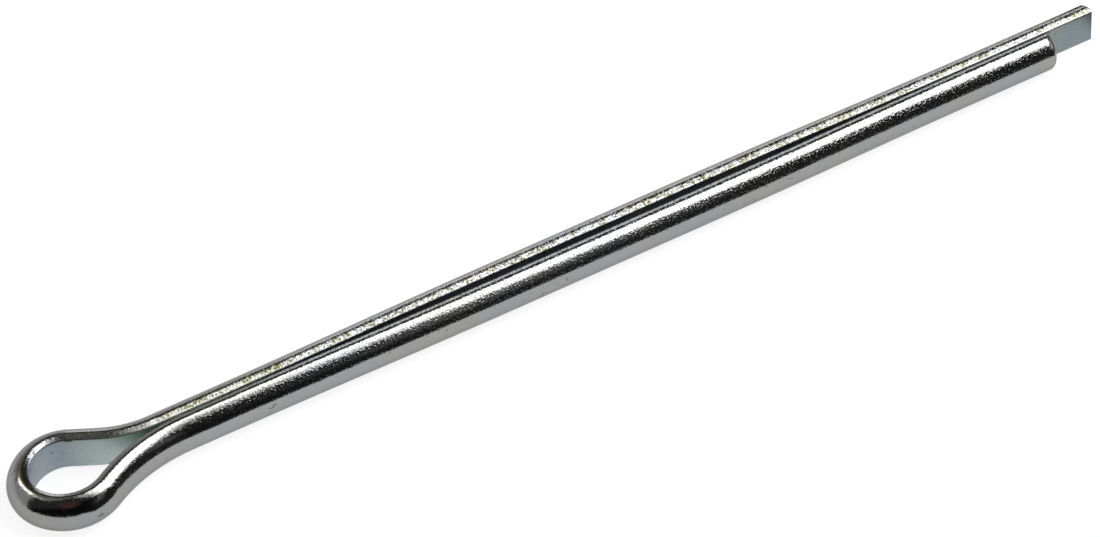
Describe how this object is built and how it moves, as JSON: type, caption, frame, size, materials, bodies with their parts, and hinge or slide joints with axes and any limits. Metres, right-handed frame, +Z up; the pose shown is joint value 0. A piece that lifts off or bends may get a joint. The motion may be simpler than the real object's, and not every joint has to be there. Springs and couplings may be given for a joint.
{
  "type": "cotter pin",
  "caption": "Cotter pin bent from half-round steel wire, with an open eye and a longer and a shorter prong that are bent apart to lock it in a hole.",
  "frame": {"origin": "on the shank's axis at the neck, where the pin's nominal length starts and the eye begins to open", "axes": "+X runs along the legs to their tips, +Y is the long leg's side, and +Z is up from the table that the pin lies on, square to the plane of the eye"},
  "size_m": [0.0774, 0.0072, 0.0028],
  "materials": {
    "plated_steel": "bright zinc plating with a fine pitted grain"
  },
  "bodies": {
    "root": {"cotter_pin": "plated_steel"}
  },
  "joints": []
}
